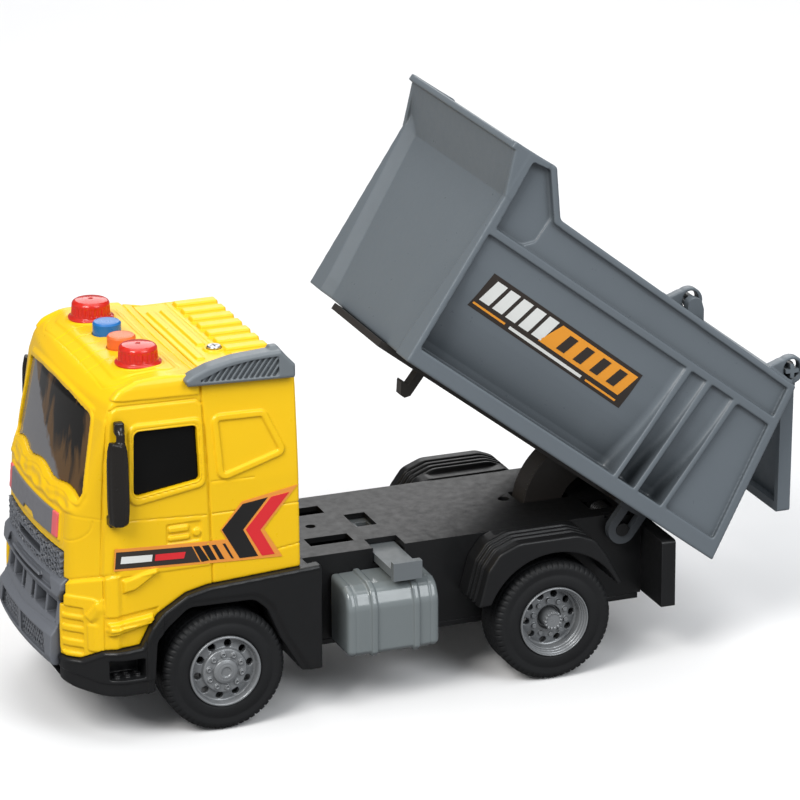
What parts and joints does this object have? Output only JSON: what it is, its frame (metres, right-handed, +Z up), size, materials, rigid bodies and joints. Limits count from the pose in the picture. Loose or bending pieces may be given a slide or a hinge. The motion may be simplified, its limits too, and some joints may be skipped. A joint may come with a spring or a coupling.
{
  "type": "toy dump truck",
  "caption": "Toy dump truck with a raised tipping bed, swinging tailgate, side release lever, two roof buttons, two roof beacons and friction-driven rear wheels",
  "frame": {"origin": "middle of the footprint box at rest, on the ground plane under the tyres", "axes": "+Z up, +Y towards the tailgate, +X towards the truck's left side"},
  "size_m": [0.0978, 0.2584, 0.1861],
  "materials": {
    "cab_yellow": "satin moulded plastic",
    "black_plastic": "black moulded plastic",
    "dark_gloss": "glossy black glazing",
    "grille_grey": "grey moulded plastic",
    "fairing_grey": "light grey moulded plastic",
    "mirror_brown": "dark moulded plastic",
    "bed_grey": "blue-grey moulded plastic",
    "tank_grey": "glossy grey moulded plastic",
    "lever_grey": "grey moulded plastic",
    "rim_silver": "silver-grey plastic",
    "tyre_rubber": "soft black tyre",
    "beacon_red": "red translucent lens",
    "button_blue": "blue plastic",
    "button_orange": "orange plastic",
    "steel": "steel",
    "gear_white": "natural plastic gear",
    "board_green": "circuit board",
    "lamp_clear": "clear lamp"
  },
  "bodies": {
    "truck": {"cab_shell": "cab_yellow", "windscreen": "dark_gloss", "side_window_left": "dark_gloss", "side_window_right": "dark_gloss", "battery_door": "cab_yellow", "fairing_left": "fairing_grey", "grille": "grille_grey", "cab_base": "black_plastic", "chassis_deck": "black_plastic", "rear_panel": "black_plastic", "underplate": "black_plastic", "chassis_screws": "steel", "cab_screws": "steel", "roof_screw": "steel", "rear_fender_left": "black_plastic", "rear_fender_right": "black_plastic", "fuel_tank_left": "tank_grey", "fuel_tank_right": "tank_grey", "lever_spring": "steel", "lift_spring": "steel", "gearbox_case_left": "gear_white", "gearbox_case_right": "gear_white", "circuit_board": "board_green", "tact_switches": "black_plastic", "lamps": "lamp_clear", "beacon_left": "beacon_red", "beacon_right": "beacon_red", "speaker": "black_plastic", "speaker_bracket": "black_plastic", "battery_cells": "steel", "battery_holder": "black_plastic", "mirror_left": "mirror_brown", "mirror_right": "mirror_brown"},
    "front_axle_set": {"front_axle": "steel", "front_rim_left": "rim_silver", "front_rim_right": "rim_silver", "front_tyre_left": "tyre_rubber", "front_tyre_right": "tyre_rubber"},
    "rear_axle_set": {"rear_axle": "steel", "rear_rim_left": "rim_silver", "rear_rim_right": "rim_silver", "rear_tyre_left": "tyre_rubber", "rear_tyre_right": "tyre_rubber", "axle_gear": "gear_white"},
    "idler": {"compound_gear": "gear_white"},
    "flywheel_set": {"flywheel_shaft": "gear_white", "flywheels": "steel"},
    "bed": {"bed_body": "bed_grey", "tip_frame": "black_plastic"},
    "gate": {"tailgate": "bed_grey"},
    "lever": {"release_lever": "lever_grey"},
    "blue_button": {"button_blue": "button_blue"},
    "orange_button": {"button_orange": "button_orange"}
  },
  "joints": [
    {"name": "bed_tilt", "type": "hinge", "parent": "truck", "child": "bed", "pos_m": [0, 0.0698, 0.0437], "axis": [1, 0, 0], "range_deg": [0, 37.5]},
    {"name": "tailgate_swing", "type": "hinge", "parent": "bed", "child": "gate", "pos_m": [0, 0.125, 0.09626], "axis": [1, 0, 0], "range_deg": [-27, 60]},
    {"name": "lever_slide", "type": "slide", "parent": "truck", "child": "lever", "axis": [-1, 0, 0], "range_m": [0, 0.005], "stiffness_N_per_m": 60},
    {"name": "blue_button_press", "type": "slide", "parent": "truck", "child": "blue_button", "axis": [0, 0, -1], "range_m": [0, 0.0012], "stiffness_N_per_m": 400},
    {"name": "orange_button_press", "type": "slide", "parent": "truck", "child": "orange_button", "axis": [0, 0, -1], "range_m": [0, 0.0012], "stiffness_N_per_m": 400},
    {"name": "front_axle_spin", "type": "hinge", "parent": "truck", "child": "front_axle_set", "pos_m": [0, -0.0748, 0.0205], "axis": [1, 0, 0], "continuous": true},
    {"name": "rear_axle_spin", "type": "hinge", "parent": "truck", "child": "rear_axle_set", "pos_m": [0, 0.0396, 0.0205], "axis": [1, 0, 0], "continuous": true},
    {"name": "idler_spin", "type": "hinge", "parent": "truck", "child": "idler", "pos_m": [0, 0.02973, 0.0262], "axis": [1, 0, 0], "continuous": true},
    {"name": "flywheel_spin", "type": "hinge", "parent": "truck", "child": "flywheel_set", "pos_m": [0, 0.01971, 0.03025], "axis": [1, 0, 0], "continuous": true}
  ],
  "couplings": [
    {"joint": "idler_spin", "follows": "rear_axle_spin", "ratio": -2.8},
    {"joint": "flywheel_spin", "follows": "rear_axle_spin", "ratio": 7.28}
  ]
}
